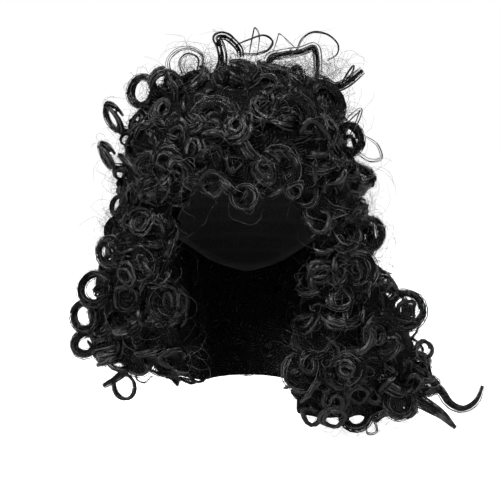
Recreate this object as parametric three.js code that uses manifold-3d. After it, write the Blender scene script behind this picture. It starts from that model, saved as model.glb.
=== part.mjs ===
// Curly wig: an elastic cap that carries five sections of curled hair.
// Millimetres, +Z up, the face looks along -Y and +X is on the right of a viewer in front.
// The origin is where the crown of a head meets the inside of the cap.
import * as THREE from "three";
import { LoftGeometry } from "three/addons/geometries/LoftGeometry.js";
import { mergeVertices } from "three/addons/utils/BufferGeometryUtils.js";
import Module from "manifold-3d";

const wasm = await Module();
wasm.setup();

// Head that the cap is made for
const headHalfWidth = 75;
const headHalfDepth = 95;
const headCrown = 95; // from the crown down to the widest level

// Cap
const capWall = 1.5;
const capSteps = 20;
const capRings = 6;

// Lower edge of the cap at each azimuth: 0 is the forehead, 180 the nape, the same on both sides
const capEdge = [
  { azimuth: 0, drop: 54 },
  { azimuth: 38, drop: 58 },
  { azimuth: 62, drop: 90 },
  { azimuth: 80, drop: 119 },
  { azimuth: 95, drop: 112 },
  { azimuth: 112, drop: 122 },
  { azimuth: 145, drop: 148 },
  { azimuth: 180, drop: 160 },
];

// Hair
const pieceGap = 0.5;
const capSlack = 1.1; // between the cap and the hair on it
const hairSteps = 20;
const roomRings = 6;
const splitLevel = -92; // the hair round the cap ends here and the hanging hair starts
const fringeHalfAngle = 50;
const fringeTop = -8;
const sideBackAngle = 130;
const leftHem = -234; // the hair on the left of the face ends higher than the rest
const innerHem = -248; // on the right, nearest the face
const innerHemAngle = 52;
const backHem = -272;
const farOut = 400; // past every piece, for cutters

// Outer form of the hair without its curls: reach from the head's axis at each level
const hairForm = [
  { level: 47, left: 18, right: 30, front: 24, back: 28 },
  { level: 40, left: 48, right: 56, front: 52, back: 62 },
  { level: 22, left: 86, right: 78, front: 80, back: 98 },
  { level: -6, left: 112, right: 92, front: 99, back: 122 },
  { level: -45, left: 119, right: 103, front: 107, back: 138 },
  { level: -92, left: 123, right: 114, front: 100, back: 146 },
  { level: -140, left: 132, right: 116, front: 88, back: 147 },
  { level: -190, left: 150, right: 152, front: 82, back: 144 },
  { level: -225, left: 148, right: 169, front: 79, back: 140 },
  { level: -262, left: 122, right: 175, front: 75, back: 134 },
  { level: -286, left: 90, right: 162, front: 66, back: 120 },
];

// Room for the head and neck below the widest level
const neckRoom = [
  { level: -125, half: 75.5, depth: 94 },
  { level: -165, half: 70, depth: 82 },
  { level: -230, half: 60, depth: 71 },
  { level: -320, half: 56, depth: 66 },
];

// Opening for the face and the front of the neck
const faceOpening = [
  { level: -60, left: 58, right: 36 },
  { level: -74, left: 69, right: 52 },
  { level: -96, left: 72, right: 65 },
  { level: -170, left: 70, right: 66 },
  { level: -225, left: 60, right: 50 },
  { level: -262, left: 58, right: 34 },
  { level: -320, left: 56, right: 28 },
];

// Curls: flat locks with a keel behind. A ring lies flat round its rod's end like a spiral, and a roll
// is wound along its rod
const curlStepsPerTurn = 6;
const ribbonOutline = [[1, -1], [1, 1], [-1, 0]]; // the thin way, the wide way
const tipTaper = 0.3; // share of the full size that is left at a curl's ends
const taperLength = 0.25; // share of a curl's length that tapers at each end
const depthPerHalf = 0.65; // half of a lock's thickness for half of its width
const pitchPerSize = 2.3; // rise in one turn for half of a lock's size that way, so turns lie side by side

// Curls that show one by one from the front. yaw turns the rod from the viewer (0) to the right (90),
// tilt raises it, start is where on the rod the lock begins, and half is half of the lock's width
const curlColumns = ["in", "kind", "x", "y", "z", "radius", "turns", "yaw", "tilt", "start", "half"];
const namedCurls = [
  ["crown", "ring", -101, -18, 27, 14, 1.7, -28, 6, 120, 4],
  ["crown", "ring", -130, -14, 2, 14, 1.25, -55, -28, 0, 4],
  ["crown", "ring", -137, -12, -35, 12, 1.25, -62, -28, 0, 4.5],
  ["crown", "ring", -124, -18, -84, 10, 1.25, -24, 8, 40, 3],
  ["crown", "roll", -78, -32, 34, 13, 1.4, 10, -30, 90, 5],
  ["crown", "roll", 47, -16, 38, 12, 1.6, 80, 12, 90, 6],
  ["crown", "ring", 74, -44, 15, 16, 1.25, 35, 25, 60, 7],
  ["crown", "ring", 98, -22, -18, 14, 1.25, 30, 10, 0, 5],
  ["crown", "roll", 106, -20, -56, 17, 1.5, 30, 70, 0, 6],
  ["crown", "ring", -8, -58, 39, 16, 1.25, 0, 52, 30, 7],
  ["crown", "ring", -52, -42, 36, 15, 1.2, -40, 48, 0, 6],
  ["fringe", "ring", -40, -101, -42, 16, 1.25, -22, 5, 200, 6],
  ["fringe", "ring", -70, -76, -20, 17, 1.2, -38, 12, 20, 7],
  ["fringe", "ring", -30, -92, -2, 17, 1.25, -14, 22, 270, 7],
  ["fringe", "ring", 40, -86, 0, 18, 1.25, 18, 20, 90, 7],
  ["fringe", "roll", 4, -97, -22, 17, 1.2, 62, 20, 0, 7],
  ["fringe", "roll", 64, -80, -40, 14, 1.8, 20, 75, 0, 6],
  ["fringe", "ring", 30, -102, -44, 14, 1.2, 14, -6, 0, 6],
  ["fringe", "ring", -2, -108, -70, 10, 1.2, 15, 5, 90, 3],
  ["fringe", "roll", -12, -102, -54, 13, 1.2, 70, 30, 90, 6],
  ["fringe", "roll", -76, -74, -62, 16, 1.4, -60, 60, 0, 7],
  ["fringe", "ring", 78, -72, -70, 14, 1.2, 38, 5, 100, 6],
  ["right", "ring", 90, -62, -108, 15, 1.25, 28, 8, 0, 6],
  ["right", "ring", 117, -26, -110, 15, 1.25, 18, 12, 60, 5],
  ["right", "ring", 104, -48, -144, 17, 1.25, 22, 6, 30, 6],
  ["right", "ring", 157, -20, -186, 17, 1.25, 12, 14, 0, 5],
  ["right", "ring", 176, -14, -228, 9, 1.2, 28, 0, 0, 3],
  ["right", "roll", 178, -18, -262, 12, 1.8, 20, 78, 0, 5],
  ["right", "ring", 106, -44, -285, 13, 1.25, 8, 28, 90, 4.5],
  ["right", "ring", 52, -68, -238, 14, 1.25, 12, 2, 0, 6],
  ["right", "roll", 88, -60, -182, 18, 1.4, 40, 60, 0, 7],
  ["right", "ring", 124, -56, -206, 18, 1.25, 28, 6, 120, 7],
  ["right", "roll", 144, -38, -248, 19, 1.5, 60, 48, 0, 7],
  ["right", "ring", 92, -70, -234, 17, 1.25, 16, 0, 40, 7],
  ["left", "ring", -127, -24, -107, 11, 1.25, -24, 10, 0, 5],
  ["left", "ring", -134, -28, -128, 12, 1.25, -20, 10, 100, 4],
  ["left", "ring", -148, -30, -164, 15, 1.25, -14, 14, 0, 5],
  ["left", "ring", -160, -24, -192, 13, 1.25, -18, 10, 80, 4.5],
  ["left", "ring", -158, -28, -218, 12, 1.25, -8, 30, 0, 5],
  ["left", "roll", -136, -30, -226, 12, 2.2, 200, 78, 0, 5],
  ["left", "ring", -104, -44, -230, 13, 1.25, -14, 12, 0, 5],
  ["left", "ring", -120, -34, -260, 12.5, 1.9, -25, 0, 60, 1.8],
  ["left", "ring", -98, -62, -134, 16, 1.25, -22, 4, 30, 7],
  ["left", "roll", -112, -52, -192, 18, 1.4, -40, 60, 0, 7],
  ["left", "ring", -88, -68, -206, 15, 1.25, -16, 0, 200, 7],
  ["left", "ring", -80, -66, -104, 14, 1.2, -10, 4, 60, 6],
  ["left", "ring", -74, -68, -172, 14, 1.2, 4, 0, 250, 6],
  ["left", "ring", -72, -62, -228, 13, 1.2, 6, 6, 120, 5],
  ["right", "ring", 74, -68, -150, 14, 1.2, 4, 0, 150, 6],
  ["right", "ring", 64, -70, -206, 14, 1.2, -4, 0, 300, 6],
  ["right", "ring", 148, -40, -274, 14, 1.2, 24, 8, 20, 5],
];

// Rows of curls over the rest of the hair, spread evenly from one azimuth to another
const curlRows = [
  { in: "crown", level: 46, from: 60, to: 300, count: 2, radius: 16 },
  { in: "crown", level: 20, from: 78, to: 282, count: 5, radius: 17 },
  { in: "crown", level: -20, from: 92, to: 268, count: 5, radius: 17 },
  { in: "crown", level: -62, from: 92, to: 268, count: 5, radius: 17 },
  { in: "right", level: -118, from: 84, to: 128, count: 2, radius: 17 },
  { in: "right", level: -160, from: 80, to: 128, count: 3, radius: 17 },
  { in: "right", level: -202, from: 84, to: 128, count: 2, radius: 17 },
  { in: "right", level: -244, from: 76, to: 128, count: 2, radius: 17 },
  { in: "left", level: -118, from: 232, to: 276, count: 2, radius: 17 },
  { in: "left", level: -160, from: 232, to: 280, count: 2, radius: 17 },
  { in: "left", level: -194, from: 232, to: 276, count: 2, radius: 17 },
  { in: "left", level: -226, from: 232, to: 284, count: 2, radius: 14 },
  { in: "back", level: -118, from: 130, to: 230, count: 4, radius: 17 },
  { in: "back", level: -160, from: 132, to: 228, count: 4, radius: 17 },
  { in: "back", level: -202, from: 130, to: 230, count: 4, radius: 17 },
  { in: "back", level: -238, from: 132, to: 228, count: 3, radius: 17 },
  { in: "right", level: -280, from: 84, to: 128, count: 2, radius: 14 },
  { in: "back", level: -266, from: 132, to: 228, count: 3, radius: 14 },
];
const rowTurns = 1.2;
const rowHalf = 6.5;

// How the curls of a row lie, taken in turn: the rod's turn from upright along the hair, and how far
// its end points out of it
const rowLies = [
  { kind: "ring", turn: 20, out: 74 },
  { kind: "roll", turn: 20, out: 10 },
  { kind: "ring", turn: 140, out: 68 },
  { kind: "ring", turn: -100, out: 78 },
  { kind: "roll", turn: -50, out: 12 },
];
const rollSink = 0.4; // share of its radius that a roll lies in the hair
const ringStand = 3.5; // height of a ring's middle over the hair

// Loose locks that leave the outline, each through a few points
const looseLocks = [
  {
    in: "crown",
    half: 4.5,
    tip: 3,
    route: [
      [-34, -14, 34], [-24, -19, 54], [-25, -24, 68], [-29, -22, 78],
      [-20, -13, 80], [-8, -6, 70], [-6, -2, 61],
    ],
  },
  {
    in: "crown",
    half: 4.5,
    tip: 4,
    route: [
      [21, -22, 34], [21, -26, 57], [33, -26, 62], [51, -20, 65],
      [65, -11, 70], [69, -7, 58], [68, -8, 34],
    ],
  },
  { in: "crown", half: 5, tip: 4, route: [[-52, -14, 12], [-72, -16, 20], [-86, -18, 32]] },
  { in: "crown", half: 5, tip: 4, route: [[-84, -12, -8], [-102, -12, -11], [-125, -11, -10]] },
  { in: "crown", half: 5, tip: 4, route: [[-94, -10, -44], [-112, -10, -47], [-132, -10, -46]] },
  {
    in: "crown",
    half: 5,
    tip: 3.5,
    route: [[54, -18, 26], [70, -18, 37], [84, -22, 31], [96, -27, 35], [111, -24, 47]],
  },
  { in: "left", half: 5, tip: 2, route: [[-110, -34, -222], [-122, -34, -247], [-141, -34, -260]] },
  {
    in: "right",
    half: 5,
    tip: 2,
    route: [
      [150, -20, -236], [188, -20, -263], [201, -24, -280],
      [214, -29, -284], [227, -28, -276], [234, -23, -262],
    ],
  },
  { in: "right", half: 9, tip: 1.5, route: [[140, -26, -262], [186, -26, -286], [207, -26, -304]] },
];
const looseSteps = 8;

const weld = 1e-3; // vertices this close are one
const radians = THREE.MathUtils.degToRad;
const zAxis = new THREE.Vector3(0, 0, 1);

// Value of a column of a table at a place between its rows, with an even start and end at each row
function between(table, key, at, column, ease) {
  const last = table.length - 1;
  const sign = Math.sign(table[last][key] - table[0][key]);
  let i = 0;
  while (i < last - 1 && (table[i + 1][key] - at) * sign < 0) i += 1;
  const share = (at - table[i][key]) / (table[i + 1][key] - table[i][key]);
  const held = THREE.MathUtils.clamp(share, 0, 1);
  const eased = ease ? held * held * (3 - 2 * held) : held;
  return THREE.MathUtils.lerp(table[i][column], table[i + 1][column], eased);
}

// Closed solid from a geometry: shared vertices, without the triangles that have no area
function solidOf(geometry) {
  const bare = new THREE.BufferGeometry().setAttribute("position", geometry.attributes.position);
  const merged = mergeVertices(bare.setIndex(geometry.index), weld);
  const corners = merged.index.array;
  const kept = [];
  for (let i = 0; i < corners.length; i += 3) {
    const [a, b, c] = corners.slice(i, i + 3);
    if (a !== b && b !== c && c !== a) kept.push(a, b, c);
  }
  return new wasm.Manifold(
    new wasm.Mesh({
      numProp: 3,
      vertProperties: merged.attributes.position.array,
      triVerts: new Uint32Array(kept),
    }),
  );
}

const loftSolid = (sections, capStart = true, capEnd = true) =>
  solidOf(new LoftGeometry(sections, { capStart, capEnd }));
const unionOf = (solids) => wasm.Manifold.union(solids);
const ring = (count, pointAt) => Array.from({ length: count }, (_, i) => pointAt((2 * Math.PI * i) / count));

// Point on the head, grown outwards, at an azimuth from the face and an angle down from the crown
function headPoint(azimuth, down, grow) {
  return new THREE.Vector3(
    (headHalfWidth + grow) * Math.sin(down) * Math.sin(azimuth),
    -(headHalfDepth + grow) * Math.sin(down) * Math.cos(azimuth),
    -headCrown + (headCrown + grow) * Math.cos(down),
  );
}

// Cap: one wall from the crown to a curved edge, in front of the ears, over them and down to the nape
function capSolid() {
  const edgeAngle = (azimuth) => {
    const side = THREE.MathUtils.radToDeg(Math.abs(Math.atan2(Math.sin(azimuth), Math.cos(azimuth))));
    return Math.acos(1 - between(capEdge, "azimuth", side, "drop", true) / headCrown);
  };
  const section = (share, grow) =>
    ring(capSteps, (azimuth) =>
      headPoint(azimuth, share * edgeAngle(azimuth), grow),
    );
  const shares = Array.from({ length: capRings + 1 }, (_, i) => i / capRings);
  const inside = shares.map((share) => section(share, 0));
  const outside = shares.toReversed().map((share) => section(share, capWall));
  return loftSolid([...inside, ...outside], false, false);
}

// Room that the hair leaves for the cap, the head and the neck
function headRoom() {
  const grow = capWall + capSlack;
  const downs = Array.from({ length: roomRings + 1 }, (_, i) => (Math.PI / 2) * (i / roomRings));
  const dome = downs.map((down) => ring(hairSteps, (azimuth) => headPoint(azimuth, down, grow)));
  const neck = neckRoom.map(({ level, half, depth }) =>
    ring(
      hairSteps,
      (azimuth) => new THREE.Vector3(half * Math.sin(azimuth), -depth * Math.cos(azimuth), level),
    ),
  );
  return loftSolid([...dome, ...neck].toReversed(), true, false);
}

// Opening in front of the face
function faceRoom() {
  const section = ({ level, left, right }) => [
    new THREE.Vector3(-left, -farOut, level),
    new THREE.Vector3(right, -farOut, level),
    new THREE.Vector3(right, 0, level),
    new THREE.Vector3(-left, 0, level),
  ];
  return loftSolid(faceOpening.map(section).toReversed());
}

// Point on the outer form of the hair
function formPoint(azimuth, level, grow = 0) {
  const side = between(hairForm, "level", level, Math.sin(azimuth) < 0 ? "left" : "right");
  const depth = between(hairForm, "level", level, Math.cos(azimuth) > 0 ? "front" : "back");
  return new THREE.Vector3((side + grow) * Math.sin(azimuth), -(depth + grow) * Math.cos(azimuth), level);
}

// Direction out of the hair at a point of its form
function formNormal(azimuth, level) {
  const step = 0.02;
  const rise = 4;
  const along = formPoint(azimuth + step, level).sub(formPoint(azimuth - step, level));
  const up = formPoint(azimuth, level + rise).sub(formPoint(azimuth, level - rise));
  return along.cross(up).normalize();
}

function formSolid(grow) {
  const sections = hairForm.map(({ level }, i) => {
    const lift = i === 0 ? grow : i === hairForm.length - 1 ? -grow : 0;
    return ring(hairSteps, (azimuth) => {
      const point = formPoint(azimuth, level, grow);
      point.z += lift;
      return point;
    });
  });
  return loftSolid(sections.toReversed());
}

// Wedge of space between two azimuths and two levels
function wedge(from, to, low, high) {
  const outline = [new THREE.Vector2(0, 0)];
  const steps = 8;
  for (let i = 0; i <= steps; i += 1) {
    const azimuth = radians(THREE.MathUtils.lerp(from, to, i / steps));
    outline.push(new THREE.Vector2(farOut * Math.sin(azimuth), -farOut * Math.cos(azimuth)));
  }
  const options = { depth: high - low, bevelEnabled: false };
  return solidOf(new THREE.ExtrudeGeometry(new THREE.Shape(outline), options).translate(0, 0, low));
}

// Ribbon of hair along a route: frameAt gives the middle, the thin way and the wide way at each share
function ribbonSolid(steps, frameAt) {
  const sections = Array.from({ length: steps + 1 }, (_, i) => {
    const { middle, thin, wide } = frameAt(i / steps);
    return ribbonOutline.map(([t, w]) => middle.clone().addScaledVector(thin, t).addScaledVector(wide, w));
  });
  return loftSolid(sections);
}

// Full in the middle and narrow at both ends
function taper(share) {
  const end = Math.min(share, 1 - share) / taperLength;
  return tipTaper + (1 - tipTaper) * Math.min(1, end);
}

// Curl round a rod with its middle at a point
function curlSolid({ kind, middle, axis, across, radius, turns, start, half }, grow) {
  const depth = depthPerHalf * half;
  const pitch = pitchPerSize * (kind === "ring" ? depth : half);
  const frameAt = (share) => {
    const turn = radians(start) + 2 * Math.PI * turns * share;
    const outward = across.clone().applyAxisAngle(axis, turn);
    const round = axis.clone().cross(outward).multiplyScalar(2 * Math.PI * radius);
    const along = round.addScaledVector(axis, pitch).normalize();
    const endward = outward.clone().cross(along);
    const thin = kind === "ring" ? endward : outward;
    const wide = along.clone().cross(thin);
    return {
      middle: middle
        .clone()
        .addScaledVector(axis, (share - 0.5) * pitch * turns)
        .addScaledVector(outward, radius),
      thin: thin.clone().multiplyScalar(depth * taper(share) + grow),
      wide: wide.multiplyScalar(half * taper(share) + 2 * grow),
    };
  };
  return ribbonSolid(Math.round(curlStepsPerTurn * turns), frameAt);
}

function namedCurl(row) {
  const { x, y, z, yaw, tilt, ...rest } = Object.fromEntries(row.map((value, i) => [curlColumns[i], value]));
  const across = new THREE.Vector3(1, 0, 0).applyAxisAngle(zAxis, radians(yaw));
  const level = new THREE.Vector3(0, -1, 0).applyAxisAngle(zAxis, radians(yaw));
  const axis = level.applyAxisAngle(across, radians(-tilt));
  return { ...rest, middle: new THREE.Vector3(x, y, z), axis, across };
}

// Curls of a row
function rowCurls({ in: section, level, from, to, count, radius }, row) {
  return Array.from({ length: count }, (_, i) => {
    const azimuth = radians(THREE.MathUtils.lerp(from, to, (i + 0.5) / count));
    const { kind, turn, out } = rowLies[(2 * row + i) % rowLies.length];
    const normal = formNormal(azimuth, level);
    const side = zAxis.clone().cross(normal).normalize();
    const upright = normal.clone().cross(side).applyAxisAngle(normal, radians(turn));
    const across = upright.clone().cross(normal);
    const stand = kind === "ring" ? ringStand : -rollSink * radius;
    return {
      in: section,
      kind,
      middle: formPoint(azimuth, level).addScaledVector(normal, stand),
      axis: upright.clone().applyAxisAngle(across, radians(out)),
      across,
      radius,
      turns: rowTurns,
      start: 80 * i,
      half: rowHalf,
    };
  });
}

function looseSolid({ half, tip, route }, grow) {
  const curve = new THREE.CatmullRomCurve3(route.map((point) => new THREE.Vector3(...point)));
  const frameAt = (share) => {
    const thin = new THREE.Vector3(0, -1, 0);
    const wide = curve.getTangentAt(share).cross(thin).normalize();
    const width = THREE.MathUtils.lerp(half, tip, share);
    return {
      middle: curve.getPointAt(share),
      thin: thin.multiplyScalar(width / 2 + grow),
      wide: wide.multiplyScalar(width + 2 * grow),
    };
  };
  return ribbonSolid(looseSteps, frameAt);
}

// Sections of hair, from the front: each one's spaces between two azimuths and two levels
const gapAngle = THREE.MathUtils.radToDeg(pieceGap / headHalfWidth);
const crownAngle = fringeHalfAngle + gapAngle;
const backAngle = sideBackAngle + gapAngle;
const hangTop = splitLevel - pieceGap;
const hairSections = [
  {
    name: "fringe",
    spaces: [{ from: -fringeHalfAngle, to: fringeHalfAngle, low: splitLevel, high: fringeTop }],
  },
  {
    name: "crown",
    spaces: [
      { from: crownAngle, to: 360 - crownAngle, low: splitLevel, high: farOut },
      { from: -fringeHalfAngle - 20, to: fringeHalfAngle + 20, low: fringeTop + pieceGap, high: farOut },
    ],
  },
  {
    name: "right",
    spaces: [
      { from: 0, to: innerHemAngle, low: innerHem, high: hangTop },
      { from: innerHemAngle - 1, to: sideBackAngle, low: -farOut, high: hangTop },
    ],
  },
  { name: "left", spaces: [{ from: -sideBackAngle, to: 0, low: leftHem, high: hangTop }] },
  {
    name: "back",
    spaces: [{ from: backAngle, to: 360 - backAngle, low: backHem, high: hangTop }],
  },
];

const allCurls = [...namedCurls.map(namedCurl), ...curlRows.flatMap(rowCurls)];

// Curls and loose locks of a section, grown on all sides
function lockSolids(name, grow) {
  const curls = allCurls.filter((curl) => curl.in === name).map((curl) => curlSolid(curl, grow));
  const locks = looseLocks.filter((lock) => lock.in === name).map((lock) => looseSolid(lock, grow));
  return [...curls, ...locks];
}

// Backing that the locks of a section grow from
function backingSolid(spaces, grow) {
  const more = grow > 0 ? gapAngle : 0;
  const wedges = spaces.map(({ from, to, low, high }) =>
    wedge(from - more, to + more, low - grow, high + grow),
  );
  return formSolid(grow).intersect(unionOf(wedges));
}

const openHead = headRoom();
const openFace = faceRoom();

const largestOf = (solid) => solid.decompose().reduce((a, b) => (b.volume() > a.volume() ? b : a));

function geometryOf(solid) {
  const { vertProperties, triVerts } = solid.getMesh();
  return new THREE.BufferGeometry()
    .setAttribute("position", new THREE.BufferAttribute(vertProperties, 3))
    .setIndex(new THREE.BufferAttribute(triVerts, 1));
}

// Mesh of the one body that is left after the cuts, without crumbs or closed voids
function meshOf(name, solid, material) {
  const geometry = geometryOf(largestOf(solidOf(geometryOf(largestOf(solid)))));
  geometry.computeVertexNormals();
  const mesh = new THREE.Mesh(geometry, material);
  mesh.name = name;
  return mesh;
}

const netMaterial = new THREE.MeshStandardMaterial({ color: 0x14130f, roughness: 0.9, metalness: 0 });
const hairMaterial = new THREE.MeshStandardMaterial({ color: 0x12110f, roughness: 0.45, metalness: 0 });

const wig = new THREE.Group();
wig.add(meshOf("cap", capSolid(), netMaterial));
const taken = [];
for (const { name, spaces } of hairSections) {
  const hair = unionOf([backingSolid(spaces, 0).subtract(openFace), ...lockSolids(name, 0)]);
  const clear = hair.subtract(unionOf([openHead, ...taken]));
  wig.add(meshOf(`${name}_curls`, clear, hairMaterial));
  taken.push(backingSolid(spaces, pieceGap), ...lockSolids(name, pieceGap));
}

export default wig;
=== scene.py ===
import math
from itertools import product

import bmesh
import bpy
import numpy as np
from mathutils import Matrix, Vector, noise
from mathutils.bvhtree import BVHTree


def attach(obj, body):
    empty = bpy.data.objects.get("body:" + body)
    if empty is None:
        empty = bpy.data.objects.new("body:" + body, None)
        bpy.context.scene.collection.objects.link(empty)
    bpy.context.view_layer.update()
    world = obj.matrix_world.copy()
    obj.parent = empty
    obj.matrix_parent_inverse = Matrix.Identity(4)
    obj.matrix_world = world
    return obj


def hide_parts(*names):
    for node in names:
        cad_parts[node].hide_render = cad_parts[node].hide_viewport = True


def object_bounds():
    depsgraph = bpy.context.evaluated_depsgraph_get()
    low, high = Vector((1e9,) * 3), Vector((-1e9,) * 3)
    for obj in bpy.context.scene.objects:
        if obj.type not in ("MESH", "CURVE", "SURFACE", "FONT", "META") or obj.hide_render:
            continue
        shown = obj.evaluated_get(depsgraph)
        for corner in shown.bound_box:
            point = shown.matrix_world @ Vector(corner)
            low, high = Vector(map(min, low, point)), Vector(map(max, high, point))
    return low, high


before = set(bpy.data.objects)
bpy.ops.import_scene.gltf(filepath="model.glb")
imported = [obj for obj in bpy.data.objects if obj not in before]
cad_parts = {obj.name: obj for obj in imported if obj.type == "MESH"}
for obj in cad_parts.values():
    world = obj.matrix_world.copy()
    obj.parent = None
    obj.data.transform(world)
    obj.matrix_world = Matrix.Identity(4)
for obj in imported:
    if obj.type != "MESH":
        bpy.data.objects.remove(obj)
cadLow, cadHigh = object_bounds()
mm = 0.001
scene = bpy.context.scene


# one wire of a node tree: numbers and sockets mix in ordinary sums
class Wire:
    def __init__(self, board, socket):
        self.board = board
        self.socket = socket

    def __add__(self, other):
        return self.board.maths("ADD", self, other)

    def __radd__(self, other):
        return self.board.maths("ADD", other, self)

    def __sub__(self, other):
        return self.board.maths("SUBTRACT", self, other)

    def __rsub__(self, other):
        return self.board.maths("SUBTRACT", other, self)

    def __mul__(self, other):
        return self.board.maths("MULTIPLY", self, other)

    def __rmul__(self, other):
        return self.board.maths("MULTIPLY", other, self)

    def __pow__(self, other):
        return self.board.maths("POWER", self, other)


# a node tree that nodes are laid on
class Board:
    def __init__(self, tree):
        self.tree = tree

    def make(self, kind, settings=None, values=None, out=0):
        node = self.tree.nodes.new(kind)
        for key, value in (settings or {}).items():
            if key == "stops":
                stops = node.color_ramp.elements
                while len(stops) < len(value):
                    stops.new(0.5)
                for stop, (place, colour) in zip(stops, value):
                    stop.position = place
                    stop.color = colour
            else:
                setattr(node, key, value)
        for key, value in (values or {}).items():
            live = [s for s in node.inputs if s.enabled]
            socket = live[key] if isinstance(key, int) else next(s for s in live if s.name == key)
            if isinstance(value, Wire):
                self.tree.links.new(value.socket, socket)
            else:
                socket.default_value = value
        live = [s for s in node.outputs if s.enabled]
        if not live:
            return node
        return Wire(self, live[out] if isinstance(out, int) else next(s for s in live if s.name == out))

    def maths(self, operation, *terms):
        return self.make("ShaderNodeMath", {"operation": operation}, dict(enumerate(terms)))

    def vector(self, operation, first, second):
        spot = "Scale" if operation == "SCALE" else 1
        return self.make("ShaderNodeVectorMath", {"operation": operation}, {0: first, spot: second})

    def cloud(self, place, scale, detail, out=0):
        values = {"Vector": place, "Scale": scale, "Detail": detail}
        return self.make("ShaderNodeTexNoise", None, values, out)

    def ramp(self, amount, places, colours):
        stops = list(zip(places, colours))
        return self.make("ShaderNodeValToRGB", {"stops": stops}, {"Fac": amount})

    def attribute(self, name, kind):
        return self.make("GeometryNodeInputNamedAttribute", {"data_type": kind}, {"Name": name})

    def surface(self, colour, rough, specular, relief=None):
        values = {"Base Color": colour, "Roughness": rough, "Specular IOR Level": specular}
        if relief:
            values["Normal"] = relief
        skin = self.make("ShaderNodeBsdfPrincipled", None, values)
        self.make("ShaderNodeOutputMaterial", None, {"Surface": skin})


# tones of the black hair: dark is its own black, the darkest tone is painted shade and the palest ones are
# painted highlights
hair = {
    "shadeBlack": (0.0004, 0.0004, 0.0005, 1),  # near black: painted shade between the locks and strands
    "dark": (0.0017, 0.0017, 0.0018, 1),
    "glintPale": (0.22, 0.221, 0.226, 1),  # the palest strands and streaks: painted highlight, for glints
    "lineGlint": (0.035, 0.0352, 0.036, 1),  # pale lines deep in the hair: painted highlight along wound strands
    "gloss": 0.27,
}


def newMaterial(name):
    material = bpy.data.materials.new(name)
    material.use_nodes = True
    material.node_tree.nodes.clear()
    return material, Board(material.node_tree)


# how strands take their tone: a random lot, and patches of painted light and shade
strandLook = {
    "shadePatch": 55,
    "byLot": 0.75,  # share of a strand's own lot in its shade
    "byShadePatch": 0.7,
    "darker": 0.22,
    "stops": (0.35, 0.64, 1.0),
    "specular": 0.3,
}


# a strand's base colour: its own random tone, under patches of painted light and shade, from near-black
# painted shade to pale painted highlight
def strandMaterial():
    material, board = newMaterial("black hair strands")
    lot = board.make("ShaderNodeAttribute", {"attribute_name": "lot"}, out="Vector")
    shade = board.make("ShaderNodeSeparateXYZ", None, {0: lot}, out="Z")
    place = board.make("ShaderNodeTexCoord", None, None, out="Object")
    shadePatches = board.cloud(place, strandLook["shadePatch"], 2)
    pale = shade * strandLook["byLot"] + shadePatches * strandLook["byShadePatch"] - strandLook["darker"]
    colour = board.ramp(pale, strandLook["stops"], (hair["shadeBlack"], hair["dark"], hair["glintPale"]))
    board.surface(colour, hair["gloss"], strandLook["specular"])
    return material


# lines wound round many centres, as packed curls show them; the pale lines are painted highlights and the
# gaps between them painted shade
nestLook = {
    "across": 0.030,
    "small": 0.017,
    "lines": 92,  # radians of the lines over one large nest
    "bend": 45,
    "warp": 0.016,
    "grain": 950,
    "ragged": 1.5,
    "weights": (0.5, 0.35, 0.3),  # of the large nests, the small nests and the grain
    "stops": (0.5, 0.8, 1.0),
    "relief": {"Strength": 0.9, "Distance": 1.5 * mm},
    "rough": 0.5,
    "specular": 0.04,
}


def massMaterial():
    material, board = newMaterial("black hair mass")
    place = board.make("ShaderNodeTexCoord", None, None, out="Object")
    bend = board.cloud(place, nestLook["bend"], 2, "Color")
    bent = board.vector("ADD", place, board.vector("SCALE", bend, nestLook["warp"]))
    grain = board.cloud(bent, nestLook["grain"], 3)

    def wound(across):
        middles = {"Vector": bent, "Scale": 1 / across}
        away = board.make("ShaderNodeTexVoronoi", None, middles, out="Distance")
        turns = away * (nestLook["lines"] * across / nestLook["across"]) + grain * nestLook["ragged"]
        return board.maths("SINE", turns) * 0.5 + 0.5

    large, small, fine = nestLook["weights"]
    lines = wound(nestLook["across"]) * large + wound(nestLook["small"]) * small + grain * fine
    colour = board.ramp(lines, nestLook["stops"], (hair["shadeBlack"], hair["dark"], hair["lineGlint"]))
    relief = board.make("ShaderNodeBump", None, {**nestLook["relief"], "Height": lines})
    board.surface(colour, nestLook["rough"], nestLook["specular"], relief)
    return material


# strands seen along a lock, on its own UV map: along the lock, then round it; its pale streaks are painted
# highlights and its darkest painted shade, under patches of painted light and shade
lockLook = {
    "streaks": ((3, 13, 0.55), (7, 36, 0.45)),  # repeats along and round, then the weight
    "byStreak": 1.7,
    "shadePatch": 48,
    "byShadePatch": 0.5,
    "darker": 0.65,
    "stops": (0.4, 0.59, 0.8),
    "relief": {"Strength": 0.8, "Distance": 1.0 * mm},
    "specular": 0.25,
}


def lockMaterial():
    material, board = newMaterial("black hair locks")
    spread = board.make("ShaderNodeTexCoord", None, None, out="UV")
    place = board.make("ShaderNodeTexCoord", None, None, out="Object")
    shadePatches = board.cloud(place, lockLook["shadePatch"], 1)

    def streaksOf(along, across, weight):
        return board.cloud(board.vector("MULTIPLY", spread, (along, across, 1)), 1.0, 2) * weight

    broad, fine = lockLook["streaks"]
    streaks = streaksOf(*broad) + streaksOf(*fine)
    pale = streaks * lockLook["byStreak"] + shadePatches * lockLook["byShadePatch"] - lockLook["darker"]
    colour = board.ramp(pale, lockLook["stops"], (hair["shadeBlack"], hair["dark"], hair["glintPale"]))
    relief = board.make("ShaderNodeBump", None, {**lockLook["relief"], "Height": streaks})
    board.surface(colour, hair["gloss"], lockLook["specular"], relief)
    return material


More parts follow.
